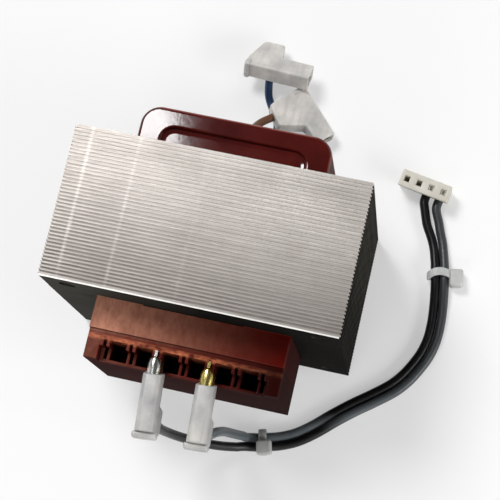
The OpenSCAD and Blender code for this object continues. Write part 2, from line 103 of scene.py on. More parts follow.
def filleted(points, radius, steps=5):
    """Polyline whose inner corners become parabolas that start and end a radius away from the corner,
    or a little before the middle of a short side."""
    p = np.asarray(points, float)
    t = np.linspace(0, 1, steps + 1)[None, :, None]
    corner, before, after = p[1:-1, None], p[:-2, None], p[2:, None]
    reach_in = np.minimum(radius / np.linalg.norm(before - corner, axis=2, keepdims=True), 0.45)
    reach_out = np.minimum(radius / np.linalg.norm(after - corner, axis=2, keepdims=True), 0.45)
    start, end = corner + (before - corner) * reach_in, corner + (after - corner) * reach_out
    bends = (1 - t) ** 2 * start + 2 * t * (1 - t) * corner + t ** 2 * end
    return np.vstack([p[:1], bends.reshape(-1, p.shape[1]), p[-1:]])


def eased(points, per_span=6):
    """Smooth curve through points: on each span a cubic whose end slopes follow the neighbouring points."""
    p = np.asarray(points, float)
    p = np.vstack([2 * p[0] - p[1], p, 2 * p[-1] - p[-2]])
    t = np.linspace(0, 1, per_span, endpoint=False)[None, :, None]
    a, b, c, d = p[:-3, None], p[1:-2, None], p[2:-1, None], p[3:, None]
    curve = 2 * b + (c - a) * t + (2 * a - 5 * b + 4 * c - d) * t ** 2 + (3 * b - a - 3 * c + d) * t ** 3
    return np.vstack([0.5 * curve.reshape(-1, 3), p[-2]])


def tube(path, radius, across, sides=20):
    """Circle carried along a path: each ring stands square to the path, turned by the across direction."""
    tangent = np.gradient(path, axis=0)
    tangent /= np.linalg.norm(tangent, axis=1, keepdims=True)
    side = np.asarray(across, float) - tangent * (tangent @ np.asarray(across, float))[:, None]
    side /= np.linalg.norm(side, axis=1, keepdims=True)
    up = np.cross(tangent, side)
    angle = np.linspace(0, 2 * np.pi, sides, endpoint=False)[None, :, None]
    return loft(path[:, None] + radius * (side[:, None] * np.cos(angle) + up[:, None] * np.sin(angle)))


def lines(edges, radius, low, high):
    """Grid lines for rounded edges: a close pair at each edge and a fan over the radius on both sides."""
    fan = np.array([-1, -0.75, -0.5, -0.28, -0.1])
    offsets = np.concatenate([fan * radius, [-WALL, WALL], -fan[::-1] * radius])
    spread = (np.asarray(edges, float)[:, None] + offsets).ravel()
    spread = np.concatenate([spread[(spread > low) & (spread < high)], [low, high]])
    spread = np.unique(np.round(spread, 4))
    return spread[np.concatenate([[True], np.diff(spread) > WALL])]


def rolled_off(inside, radius):
    """Drop of an edge rounded to a radius, from the distance inside it: nothing further out than the
    radius, then a quarter circle down."""
    reach = np.clip(inside + radius, 0, radius)
    return radius - np.sqrt(radius ** 2 - reach ** 2)


def welled_block(x, y, z0, top, edge_r, wells, base_r=0.6):
    """Block seen as a height over a grid: its top falls to each well's floor inside the well and rolls
    off round it, the outer edge rolls off too, and walls run down from the rim to a rounded base.
    edge_r gives the outer roundings at x low, x high, y low, y high; wells are x0, x1, y0, y1, floor, r."""
    widest = max(well[5] for well in wells)
    xs = lines([well[i] for well in wells for i in (0, 1)] + list(x), widest, *x)
    ys = lines([well[i] for well in wells for i in (2, 3)] + list(y), widest, *y)
    gx, gy = np.meshgrid(xs, ys, indexing="ij")
    height = np.full(gx.shape, float(top))
    for x0, x1, y0, y1, floor, r in wells:
        inside = np.minimum(np.minimum(gx - x0, x1 - gx), np.minimum(gy - y0, y1 - gy))
        height = np.where(inside > 0, np.minimum(height, floor), height - rolled_off(inside, r))
    for r, gap in zip(edge_r, (gx - x[0], x[1] - gx, gy - y[0], y[1] - gy)):
        if r > 0:
            height -= rolled_off(-gap, r)
    top_points = np.stack([gx, gy, height], -1).reshape(-1, 3)
    n, m = gx.shape
    faces = quads(n, m, wrap_cols=False)
    index = np.arange(n * m).reshape(n, m)
    rim = np.concatenate([index[:-1, 0], index[-1, :-1], index[:0:-1, -1], index[0, :0:-1]])
    corners = top_points[rim]
    centre = np.array([sum(x) / 2, sum(y) / 2])
    shrink = 1 - 2 * base_r / np.array([x[1] - x[0], y[1] - y[0]])
    skirts = [np.column_stack([centre + (corners[:, :2] - centre) * (1 - (1 - shrink) * gone),
                               np.full(len(rim), z0 + base_r * (1 - risen))])
              for gone, risen in zip(*quarter(4))]
    ring_ids = [rim] + [n * m + k * len(rim) + np.arange(len(rim)) for k in range(len(skirts))]
    for upper, lower in zip(ring_ids[:-1], ring_ids[1:]):
        faces += np.stack([upper, np.roll(upper, -1), np.roll(lower, -1), lower], -1).tolist()
    faces.append(ring_ids[-1].tolist())
    return np.vstack([top_points] + skirts), faces


def placed(shells, at, spin, roll=0.0, along=0.0):
    """Shells slid along Y, rolled about Y and spun about Z (both in degrees), then moved to a place."""
    s, r = np.radians(spin), np.radians(roll)
    about_y = np.array([[np.cos(r), 0, np.sin(r)], [0, 1, 0], [-np.sin(r), 0, np.cos(r)]])
    about_z = np.array([[np.cos(s), -np.sin(s), 0], [np.sin(s), np.cos(s), 0], [0, 0, 1]])
    turn = (about_z @ about_y).T
    return [((points + (0, along, 0)) @ turn + np.asarray(at, float), faces) for points, faces in shells]


def piece(name, shells, finish, slot, *stands_for):
    """Joins closed shells into one mesh in metres, with smooth faces that break at the crease angle,
    rides it on the body and puts it in the place of its CAD nodes."""
    points, faces = [], []
    for shell_points, shell_faces in shells:
        shift = sum(len(p) for p in points)
        points.append(shell_points)
        faces += [[i + shift for i in face] for face in shell_faces]
    mesh = bpy.data.meshes.new(name)
    mesh.from_pydata((np.vstack(points) * MM).tolist(), [], faces)
    shaped = bmesh.new()
    shaped.from_mesh(mesh)
    bmesh.ops.recalc_face_normals(shaped, faces=shaped.faces)
    shaped.to_mesh(mesh)
    shaped.free()
    mesh.shade_smooth()
    mesh.set_sharp_from_angle(angle=np.radians(CREASE))
    obj = bpy.data.objects.new(name, mesh)
    bpy.context.scene.collection.objects.link(obj)
    mesh.materials.append(finish)
    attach(obj, "root")
    if stands_for:
        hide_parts(*stands_for)
    return obj


# Finishes

def srgb(*levels):
    """Picture levels 0 to 255 as the linear colour that renders to them."""
    v = np.array(levels) / 255
    return (*np.where(v < 0.04045, v / 12.92, ((v + 0.055) / 1.055) ** 2.4), 1.0)


class Finish:
    """A material under construction: its shader and short ways to feed it from object coordinates."""

    def __init__(self, name, **constants):
        """Starts with plain values on the shader's sockets, named with underscores for spaces."""
        self.material = bpy.data.materials.new(name)
        self.material.use_nodes = True
        self.tree = self.material.node_tree
        self.shader = self.tree.nodes["Principled BSDF"]
        for socket, value in constants.items():
            self.shader.inputs[socket.replace("_", " ")].default_value = value
        self.coordinates = self.add("ShaderNodeTexCoord")
        self.place = self.coordinates.outputs["Object"]

    def add(self, kind, inputs=None, **settings):
        """New node of a kind with its settings made and its inputs fed."""
        node = self.tree.nodes.new(kind)
        for key, value in settings.items():
            setattr(node, key, value)
        for key, value in (inputs or {}).items():
            self.feed(node.inputs[key], value)
        return node

    def feed(self, socket, value):
        """Links another node's output to a socket, or sets the socket to a plain value."""
        if isinstance(value, bpy.types.NodeSocket):
            self.tree.links.new(value, socket)
        else:
            socket.default_value = value

    def math(self, operation, a, b=0.0):
        """One operation on one or two values."""
        return self.add("ShaderNodeMath", {0: a, 1: b}, operation=operation).outputs[0]

    def times(self, a, b):
        """Product of two values."""
        return self.math("MULTIPLY", a, b)

    def axes(self):
        """Place along X, Y and Z in metres."""
        return self.add("ShaderNodeSeparateXYZ", {0: self.place}).outputs[:3]

    def facing(self):
        """How far the surface faces along X, Y and Z, from -1 to 1."""
        return self.add("ShaderNodeSeparateXYZ", {0: self.coordinates.outputs["Normal"]}).outputs[:3]

    def grain(self, scale, detail=4.0, roughness=0.55, stretch=(1, 1, 1)):
        """Soft noise whose features are about 1/scale metres, stretched by axis."""
        place = self.add("ShaderNodeMapping", {"Vector": self.place, "Scale": stretch}).outputs[0]
        inputs = {"Vector": place, "Scale": scale, "Detail": detail, "Roughness": roughness}
        return self.add("ShaderNodeTexNoise", inputs).outputs["Fac"]

    def span(self, value, low, high, to_low, to_high):
        """Straight line from low..high to to_low..to_high, held at its ends."""
        inputs = {0: value, 1: low, 2: high, 3: to_low, 4: to_high}
        return self.add("ShaderNodeMapRange", inputs).outputs[0]

    def ramp(self, place, low, high, to_low, to_high):
        """The same line along a place, with low and high in millimetres."""
        return self.span(place, low * MM, high * MM, to_low, to_high)

    def blend(self, amount, a, b):
        """Colour a, with an amount of colour b over it (a mix node's colours are its sockets 6 and 7)."""
        return self.add("ShaderNodeMix", {0: amount, 6: a, 7: b}, data_type="RGBA").outputs[2]

    def edges(self, low, high):
        """Share of an outer edge, from the surface's pointiness."""
        return self.span(self.add("ShaderNodeNewGeometry").outputs["Pointiness"], low, high, 0.0, 1.0)

    def colour(self, value):
        """Sets the shader's colour."""
        self.feed(self.shader.inputs["Base Color"], value)

    def roughness(self, value):
        """Sets the shader's roughness."""
        self.feed(self.shader.inputs["Roughness"], value)

    def relief(self, height, depth, strength=1.0):
        """Fine bumps from a height, with their depth in millimetres."""
        inputs = {"Height": height, "Distance": depth * MM, "Strength": strength}
        self.feed(self.shader.inputs["Normal"], self.add("ShaderNodeBump", inputs).outputs[0])


def sheet_steel(name, own_tone, sheen_tone, side_tone):
    """Stacked sheet edges. The top has the sheets' own tone, most marked at the front left, and towards the
    rear right it fades under a painted sheen, a lighter sheen tone with fine specks. Streaks run along it,
    light bands cross it where it was rubbed, and a painted highlight runs along its front edge. The sides are
    dark varnish that differs from sheet to sheet, under painted shade that is black at the front right."""
    f = Finish(name, Metallic=0.22, Specular_IOR_Level=0.0)
    x, y, z = f.axes()
    sideways, rearward, upward = f.facing()
    depth = f.math("DIVIDE", f.math("ADD", y, STACK / 2 * MM), SHEET_T * MM)
    number = f.math("FLOOR", depth)
    tone = f.add("ShaderNodeTexWhiteNoise", {"W": number}, noise_dimensions="1D").outputs["Value"]
    streak = f.grain(900, 4.0, 0.6, (0.16, 2.0, 0.16))
    patch = f.grain(55, 4.0)
    fleck = f.grain(2200, 2.0)
    worn = f.grain(130, 3.0)

    # Painted sheen: towards the rear right the sheets' own tone fades and the top turns to the lighter sheen
    # tone with fine specks
    contrast = f.times(f.ramp(x, -40, 34, 1.0, 0.3), f.ramp(y, -2, 18, 1.0, 0.12))
    painted_top_sheen = f.times(f.ramp(y, -20, 8, 0.0, 0.7), f.ramp(x, -40, 20, 0.2, 1.0))
    speck = f.times(f.span(fleck, 0.46, 0.66, 0.0, 0.5), painted_top_sheen)
    ground = f.blend(contrast, srgb(134, 128, 123), srgb(*own_tone))
    ground = f.blend(painted_top_sheen, ground, srgb(*sheen_tone))
    ground = f.blend(f.span(tone, 0.0, 1.0, 0.0, 0.25), ground, srgb(100, 95, 91))
    ground = f.blend(f.span(streak, 0.4, 0.7, 0.0, 0.3), ground, srgb(190, 184, 178))
    ground = f.blend(f.span(patch, 0.45, 0.75, 0.0, 0.35), ground, srgb(112, 105, 100))
    ground = f.blend(speck, ground, srgb(132, 126, 121))
    for centre, width, gain in ((-36.8, 0.75, 0.34), (-23.2, 0.75, 0.22), (-3.7, 0.9, 0.08)):
        gap = f.math("ABSOLUTE", f.math("SUBTRACT", x, centre * MM))
        pale_mark = f.times(f.ramp(gap, 0.0, width, gain, 0.0), f.span(streak, 0.3, 0.6, 0.4, 1.0))
        pale_mark = f.times(pale_mark, f.span(worn, 0.35, 0.6, 0.35, 1.1))
        ground = f.blend(pale_mark, ground, srgb(236, 232, 226))
    # Painted highlight along the top's front edge
    edge_highlight = f.ramp(y, -STACK / 2 + 0.3, -STACK / 2 + 0.65, 1.0, 0.0)
    edge_highlight = f.times(edge_highlight, f.span(patch, 0.3, 0.6, 1.0, 0.75))
    ground = f.blend(edge_highlight, ground, srgb(250, 247, 242))

    seam = f.times(f.span(f.math("FRACT", depth), 0.0, 0.3, 0.75, 0.0),
                   f.span(f.math("ABSOLUTE", sideways), 0.4, 0.7, 0.0, 1.0))
    # Painted shade: the front face turns black towards the right, and the right side turns darker towards the
    # front
    front_shade = f.times(f.span(rearward, -0.7, -0.4, 0.85, 0.0), f.ramp(x, -34, 4, 0.0, 1.0))
    right_shade = f.times(f.span(sideways, 0.4, 0.7, 0.0, 0.7), f.ramp(y, -14, 12, 1.0, 0.0))
    varnish = f.blend(f.span(patch, 0.35, 0.7, 0.0, 0.8), srgb(*side_tone), srgb(64, 63, 58))
    varnish = f.blend(f.span(fleck, 0.55, 0.8, 0.0, 0.25), varnish, srgb(92, 89, 82))
    varnish = f.blend(f.span(tone, 0.0, 1.0, 0.0, 0.5), varnish, srgb(86, 84, 78))
    varnish = f.blend(seam, varnish, srgb(18, 18, 17))
    varnish = f.blend(f.math("MAXIMUM", front_shade, right_shade), varnish, srgb(7, 7, 7))

    on_top = f.ramp(z, CORE_TOP - 1.0, CORE_TOP - 0.5, 0.0, 1.0)
    on_top = f.times(f.span(upward, 0.4, 0.7, 0.0, 1.0), on_top)
    f.colour(f.blend(on_top, varnish, ground))
    f.roughness(f.math("ADD", f.span(streak, 0.3, 0.7, 0.29, 0.21), f.span(on_top, 0.0, 1.0, 0.5, 0.0)))
    f.relief(f.math("ADD", streak, f.times(fleck, 0.5)), 0.04, 0.4)
    return f.material


def moulded_brown(name, shine, gloss, dull, panel_sheen, wall_shade):
    """Dark brown moulding with faint orange peel. Its roughness drifts from gloss to dull, its walls are
    darkened by painted shade of the given strength and reflect little, and its rounded outer edges carry a
    paler painted highlight. On the front shroud a patchy painted sheen of the given strength thins out from
    left to right, painted shade darkens the terminal row to the right, and a lighter red painted highlight
    lies on the ledge behind the terminals."""
    f = Finish(name, IOR=1.52, Specular_IOR_Level=shine)
    x, y, _ = f.axes()
    upward = f.facing()[2]
    cloud = f.grain(70, 4.0)
    peel = f.grain(900, 3.0)
    sheen_grain = f.grain(420, 5.0, 0.65, (1, 0.5, 1))
    ledge_grain = f.grain(520, 5.0, 0.7, (0.6, 1.4, 1))
    row_step, ledge_y = (-31.4, -30.6), -32.75

    # Painted sheen: a patchy pale film on the panel, brightest at the left
    painted_sheen = f.times(f.math("POWER", f.ramp(x, -27, 30, 1.0, 0.0), 2.0), panel_sheen)
    painted_sheen = f.times(painted_sheen, f.span(sheen_grain, 0.3, 0.65, 0.5, 1.0))
    painted_sheen = f.times(painted_sheen, f.ramp(y, *row_step, 0.2, 1.0))
    painted_sheen = f.times(painted_sheen, f.span(upward, 0.2, 0.9, 0.0, 1.0))
    # Painted shade on the terminal row, darker to the right
    row_shade = f.times(f.ramp(y, *row_step, 1.0, 0.0), f.ramp(x, 0, 24, 0.0, 0.85))
    # Painted highlight along the ledge behind the terminals, fading to the right
    from_ledge = f.math("ABSOLUTE", f.math("SUBTRACT", y, ledge_y * MM))
    pale_mark = f.times(f.ramp(from_ledge, 0.3, 1.0, 1.0, 0.0), f.ramp(x, 6, 24, 1.0, 0.1))
    pale_mark = f.times(pale_mark, f.span(ledge_grain, 0.36, 0.66, 0.0, 0.85))
    pale_mark = f.times(pale_mark, f.span(upward, 0.0, 0.3, 0.0, 1.0))

    brown = f.blend(f.span(cloud, 0.3, 0.7, 0.0, 1.0), srgb(60, 7, 4), srgb(84, 14, 8))
    # Painted highlight on the rounded outer edges
    brown = f.blend(f.times(f.edges(0.56, 0.66), 0.35), brown, srgb(160, 62, 36))
    brown = f.blend(row_shade, brown, srgb(22, 6, 5))
    # Painted shade on the walls
    brown = f.blend(f.span(upward, 0.0, 0.35, wall_shade, 0.0), brown, srgb(34, 9, 7))
    brown = f.blend(painted_sheen, brown, srgb(208, 148, 122))
    f.colour(f.blend(pale_mark, brown, srgb(224, 132, 92)))
    f.roughness(f.math("ADD", f.span(cloud, 0.3, 0.7, gloss, dull), f.span(upward, 0.0, 0.35, 0.85, 0.0)))
    f.relief(peel, 0.02, 0.25)
    return f.material


def milky_nylon(name, pale, dark, glow):
    """Translucent nylon: milky mottling with flow streaks along Y, light carried a little way inside."""
    f = Finish(name, Subsurface_Weight=glow, Subsurface_Radius=(1.0, 0.95, 0.85), Subsurface_Scale=0.004,
               IOR=1.53)
    cloud = f.grain(160, 5.0)
    fine = f.grain(1500, 3.0)
    flow = f.grain(620, 3.0, 0.6, (1, 0.1, 0.25))
    milk = f.blend(f.span(cloud, 0.3, 0.7, 0.0, 1.0), srgb(*dark), srgb(*pale))
    f.colour(f.blend(f.span(flow, 0.5, 0.68, 0.0, 0.45), milk, srgb(*dark)))
    f.roughness(f.span(fine, 0.3, 0.7, 0.32, 0.5))
    f.relief(fine, 0.03, 0.4)
    return f.material


def lead_jacket(name, body, worn, painted_sheen=(), shine=0.45):
    """Extruded insulation: worn patches and fine grain, under a grey painted sheen whose strength is the
    product of straight lines along Y, each given as two places in millimetres and the strengths there."""
    f = Finish(name, IOR=1.5, Specular_IOR_Level=shine)
    cloud = f.grain(220, 4.0)
    fine = f.grain(1800, 3.0)
    jacket = f.blend(f.span(cloud, 0.45, 0.75, 0.0, 0.7), srgb(*body), srgb(*worn))
    # Grey painted sheen placed along Y
    if painted_sheen:
        y = f.axes()[1]
        strength = f.span(cloud, 0.3, 0.7, 0.8, 1.0)
        for line in painted_sheen:
            strength = f.times(strength, f.ramp(y, *line))
        jacket = f.blend(strength, jacket, srgb(94, 100, 103))
    f.colour(jacket)
    f.roughness(f.span(fine, 0.3, 0.7, 0.32, 0.46))
    f.relief(fine, 0.03, 0.5)
    return f.material


def bright_metal(name, pale, dark, rough):
    """Plated sheet metal: cloudy tarnish and drawn streaks along Y."""
    f = Finish(name, Metallic=1.0)
    cloud = f.grain(350, 4.0)
    fine = f.grain(2500, 3.0, 0.6, (1, 0.2, 1))
    f.colour(f.blend(f.span(cloud, 0.35, 0.7, 0.0, 1.0), srgb(*pale), srgb(*dark)))
    f.roughness(f.span(fine, 0.3, 0.7, rough, rough + 0.15))
    f.relief(fine, 0.02, 0.4)
    return f.material


def wound_copper():
    """Enamelled turns: round wires side by side up the coil, as a wave along Z."""
    f = Finish("wound_copper", Metallic=0.9)
    wave = f.add("ShaderNodeTexWave", {"Vector": f.place, "Scale": 420.0}, bands_direction="Z")
    cloud = f.grain(200, 3.0)
    f.colour(f.blend(cloud, srgb(150, 72, 34), srgb(196, 112, 60)))
    f.roughness(f.span(cloud, 0.3, 0.7, 0.3, 0.42))
    f.relief(wave.outputs["Fac"], 0.2)
    return f.material


# The second colour of each steel is its painted sheen tone; the set-back bars' tone is lighter still to
# cancel the shade in their grooves
core_plate = sheet_steel("core_plate", (172, 166, 160), (212, 206, 200), (50, 49, 45))
core_bar = sheet_steel("core_bar", (84, 79, 75), (244, 238, 231), (44, 43, 40))
rear_brown = moulded_brown("rear_brown", shine=0.52, gloss=0.05, dull=0.09, panel_sheen=0.0, wall_shade=0.4)
front_brown = moulded_brown("front_brown", shine=0.06, gloss=0.17, dull=0.24, panel_sheen=0.9, wall_shade=0.85)
cover_nylon = milky_nylon("cover_nylon", (194, 191, 186), (150, 150, 151), 0.3)
mains_nylon = milky_nylon("mains_nylon", (212, 207, 201), (168, 167, 165), 0.3)
tie_nylon = milky_nylon("tie_nylon", (192, 193, 190), (158, 161, 159), 0.3)
plug_nylon = milky_nylon("plug_nylon", (204, 200, 190), (186, 181, 168), 0.15)
former_nylon = milky_nylon("former_nylon", (222, 218, 206), (205, 200, 188), 0.1)
wrap_film = milky_nylon("wrap_film", (206, 172, 88), (182, 146, 66), 0.05)
# The grey painted sheen passes from the right lead to the left one near the front tie and is weaker along the
# rest of the left lead
left_jacket = lead_jacket("left_jacket", (5, 5, 6), (20, 22, 23),
                          painted_sheen=((-40, -34, 0.0, 0.95), (-33, -6, 1.0, 0.3)))
right_jacket = lead_jacket("right_jacket", (5, 5, 6), (20, 22, 23),
                           painted_sheen=((-40, -34, 0.95, 0.0),), shine=0.25)
brown_jacket = lead_jacket("brown_jacket", (90, 54, 30), (112, 72, 44))
blue_jacket = lead_jacket("blue_jacket", (20, 46, 80), (34, 64, 100))
tin_plate = bright_metal("tin_plate", (222, 222, 218), (160, 160, 156), 0.16)
brass_sheet = bright_metal("brass_sheet", (224, 206, 130), (158, 134, 66), 0.16)
contact_tin = bright_metal("contact_tin", (178, 174, 164), (150, 147, 140), 0.45)
copper = wound_copper()

node_finish = {
    "e_laminations": core_plate, "i_laminations": core_bar, "coil_former": former_nylon,
    "primary_winding": copper, "secondary_winding": copper, "winding_barrier": wrap_film,
    "outer_wrap": wrap_film, "left_tab": tin_plate, "right_tab": brass_sheet, "plug_contacts": contact_tin,
}
for name, finish in node_finish.items():
    for holder in nodes[name].material_slots:
        holder.material = finish


# Leads: routes listed point by point from end to end, with most points measured in Y from the front or rear
# face

LEFT_XY, RIGHT_XY = (-6.190, -51.599), (8.520, -51.619)
HOLE_X, BROWN_Z, BLUE_Z = -3, 21, 17.6


def from_face(route, y):
    """Points of a route whose Y is measured from a face at y."""
    return [(px, py + y, pz) for px, py, pz in route]


def pressed(path, other, diameter):
    """Where two leads run side by side, each moves half their gap towards the other's nearest point, by
    a limited step that fades out as the gap widens."""
    reach, fade, longest = 1.2, 0.4, 0.25
    apart = other[None] - path[:, None]
    nearest = np.argmin(np.linalg.norm(apart, axis=2), axis=1)
    step = apart[np.arange(len(path)), nearest]
    gap = np.linalg.norm(step, axis=1, keepdims=True)
    share = np.clip((gap - diameter) / 2, 0, longest) * np.clip((diameter + reach - gap) / fade, 0, 1)
    return path + step / gap * share


left_path = eased([(*LEFT_XY, 47.3), (*LEFT_XY, 42.0)] + from_face([
    (-5.4, -13.4, 34), (-3.9, -13.5, 27), (-0.8, -13.5, 20), (4, -13.3, 13.8), (9.5, -12.6, 8.5),
    (14.8, -11.4, 4.4), (19.6, -10.25, 2.6), (22.6, -9.5, 2.4), (26.8, -8.1, 1.6), (31.6, -5.8, 1.5),
    (36.4, -2.2, 1.5), (41.5, 2.5, 1.5), (46.6, 6.8, 1.5), (51.8, 10.8, 1.5), (56.8, 15, 1.5),
    (60.2, 19, 1.5), (62.8, 23.4, 1.5), (64.8, 28, 1.5), (65.9, 33, 1.5), (66.1, 38.5, 1.5),
    (65.7, 44, 1.6), (65, 49.2, 2.2), (64.2, 53.5, 2.5), (63.2, 58, 2), (61.8, 63.2, 1.6),
    (59.5, 68.6, 1.8)], FRONT_Y) + [(57.55, 34.531, 2.2), (57.75, 37.485, 2.2)])
right_path = eased([(*RIGHT_XY, 47.3), (*RIGHT_XY, 42.0)] + from_face([
    (8.9, -12.2, 34), (9.8, -10.4, 27), (11, -9.2, 20.5), (12.4, -8.7, 14.5), (14.2, -8.3, 9),
    (16.2, -7.9, 4.9), (19.1, -7.28, 2.6), (22.2, -6.45, 2.4), (25.8, -5.3, 1.6), (30, -3.2, 1.5),
    (34.4, 0.1, 1.5), (39.4, 4.7, 1.5), (44.6, 9.1, 1.5), (49.8, 13.1, 1.5), (54.6, 17.1, 1.5),
    (57.7, 20.8, 1.5), (60.1, 24.9, 1.5), (61.9, 29, 1.5), (62.9, 33.3, 1.5), (63.1, 38.3, 1.5),
    (62.7, 43.6, 1.6), (62, 48.7, 2.2), (61.2, 53, 2.5), (60.2, 57.4, 2), (58.4, 62.5, 1.6),
    (55.4, 68.4, 1.8)], FRONT_Y) + [(53.45, 35.218, 2.2), (53.55, 38.173, 2.2)])
left_path, right_path = pressed(left_path, right_path, BLACK_D), pressed(right_path, left_path, BLACK_D)
brown_path = eased([(HOLE_X, REAR_Y - 2, BROWN_Z), (HOLE_X, REAR_Y + 1, BROWN_Z)] + from_face([
    (-2.9, 4.4, 19.6), (-2.5, 7.8, 16.6), (-2, 10.6, 13), (-1.5, 12.7, 10.1), (-0.6, 14.3, 8.3)], REAR_Y)
    + [(0.8, 51.0, 7.2), (2.3, 52.4, 6.4), (5, 54.9, 5.5)])
blue_path = eased([(HOLE_X, REAR_Y - 2, BLUE_Z), (HOLE_X, REAR_Y + 1, BLUE_Z)] + from_face([
    (-2.6, 3.8, 13), (-1.4, 6, 8.6), (0.4, 8.4, 4.8), (2.2, 11.2, 2.2), (3.2, 14.2, 1.3), (2.8, 17, 1.4),
    (1.5, 19.4, 1.3), (0.1, 21.4, 1.3), (-1, 23.2, 1.6), (-1.7, 24.9, 2.6)], REAR_Y)
    + [(-2.074, 62.9, 4.6), (-1.991, 65.045, 7.2)])

# Each lead: its route, diameter, the direction that its rings are turned by, its jacket and slot
pair_across, mains_across = (1, -1, 0.2), (1, 0.1, 0)
lead_runs = {
    "left": (left_path, BLACK_D, pair_across, left_jacket, "black_pvc"),
    "right": (right_path, BLACK_D, pair_across, right_jacket, "black_pvc"),
    "brown": (brown_path, MAINS_D, mains_across, brown_jacket, "brown_pvc"),
    "blue": (blue_path, MAINS_D, mains_across, blue_jacket, "blue_pvc"),
}
leads = {side: piece(f"{side}_lead_jacket", [tube(path, width / 2, across)], jacket, slot, f"{side}_lead")
         for side, (path, width, across, jacket, slot) in lead_runs.items()}


# Rear shroud: outlines from the foot up the wall, over the shoulder, across the border and into the recess

REAR_CORNER, CORE_CORNER = 5.75, 0.4
RECESS_X, RECESS_Y, RECESS_CORNER, RECESS_DEPTH = 21, 29.75, 4, 1


def shroud_outline(inset, core_inset):
    """Rounded outline drawn in by one inset at its sides and rear and by another at the core."""
    corner = max(REAR_CORNER - inset, 0.5)
    return rounded_ring(-SHROUD_X + inset, SHROUD_X - inset, CORE_GAP_Y + core_inset, REAR_Y - inset,
                        (CORE_CORNER, corner, corner, CORE_CORNER), steps=10)


def recess_outline(grow):
    """Rounded outline of the recess, grown outwards, but by little towards the core."""
    corner = RECESS_CORNER + grow
    return rounded_ring(-RECESS_X - grow, RECESS_X + grow, CORE_GAP_Y + 0.5 - min(grow, 0.3), RECESS_Y + grow,
                        (0.3, corner, corner, 0.3), steps=10)


def cheek(side_x, side_y):
    """Side wall of a shroud that runs through the core's window to its middle."""
    x0, x1 = sorted((side_x * CHEEK_X, side_x * SHROUD_X))
    y0, y1 = sorted((side_y * 0.1, side_y * CORE_GAP_Y))
    return loft(stacked([rounded_ring(x0, x1, y0, y1, 0.3)] * 2, (SHROUD_Z0, SHROUD_Z1)))


# Radii of the foot, the shoulder and the recess's lip, the flat beside them, and the core side's turn inwards
foot, shoulder, lip, flat, core_turn = 1.2, 1.1, 0.7, 0.12, 0.2
gone, risen = quarter(7)
turn = np.linspace(0, np.pi / 2, 7)
rear_levels = [(shroud_outline(4, 2 * core_turn), SHROUD_Z0)]
rear_levels += [(shroud_outline(inward * foot, inward * core_turn), SHROUD_Z0 + foot * (1 - up))
                for inward, up in zip(gone[::-1], risen[::-1])]
rear_levels += [(shroud_outline(inward * shoulder, inward * core_turn), SHROUD_Z1 - shoulder * (1 - up))
                for inward, up in zip(gone, risen)]
rear_levels += [(shroud_outline(shoulder + flat, core_turn), SHROUD_Z1),
                (recess_outline(lip + flat), SHROUD_Z1)]
rear_levels += [(recess_outline(lip * (1 - inward)), SHROUD_Z1 - lip * (1 - up))
                for inward, up in zip(np.sin(turn), np.cos(turn))]
rear_levels += [(recess_outline(-0.02), SHROUD_Z1 - 0.85), (recess_outline(-0.3), SHROUD_Z1 - RECESS_DEPTH),
                (recess_outline(-1.5), SHROUD_Z1 - RECESS_DEPTH)]
piece("rear_shroud_shell", [loft(stacked(*zip(*rear_levels))), cheek(-1, 1), cheek(1, 1)],
      rear_brown, "shroud_brown", "rear_shroud")


# Front shroud: panel, ledge and terminal row as one height over a grid

PITCH, PANEL_Y, BEND_Y = 7.5, -30.75, -34.95
LEDGE_Z, RIB_LOW_Z, SLOT_Z, POCKET_Z = 54.6, 50.2, 46.0, 36.0
POCKET_Y, POCKET_HALF, SLOT_HALF = (-38.0, -33.15), 2.35, 0.45
PAST_X, PAST_Y = 40, -60

# The ledge and the low ribs are wells that run out past the block's edges
slots_x = (np.arange(7) - 3) * PITCH
pockets_x = slots_x[:-1] + PITCH / 2
row_half = slots_x[-1] + PITCH / 2 - POCKET_HALF
front_wells = [(-PAST_X, PAST_X, PAST_Y, PANEL_Y, LEDGE_Z, 0.45),
               (-row_half, row_half, PAST_Y, BEND_Y, RIB_LOW_Z, 0.3)]
front_wells += [(px - POCKET_HALF, px + POCKET_HALF, *POCKET_Y, POCKET_Z, 0.4) for px in pockets_x]
front_wells += [(px - SLOT_HALF, px + SLOT_HALF, *POCKET_Y, SLOT_Z, 0.22) for px in slots_x]
front_block = welled_block((-SHROUD_X, SHROUD_X), (FRONT_Y, -CORE_GAP_Y), SHROUD_Z0, SHROUD_Z1,
                           (0.6, 0.6, 0.5, 0), front_wells)
piece("front_shroud_shell", [front_block, cheek(-1, -1), cheek(1, -1)],
      front_brown, "shroud_brown", "front_shroud")


# Flag covers and the rolled receptacles in them

COVER_X, MOUTH_Z, LIP = 2.7, 3.4, 0.35
HOLLOW_X, HOLLOW_Z = 1.95, 3.0
BARREL_Y = (-14.05, -11.35)
TAB_Z, PUSHED_ON = 53.8, -4


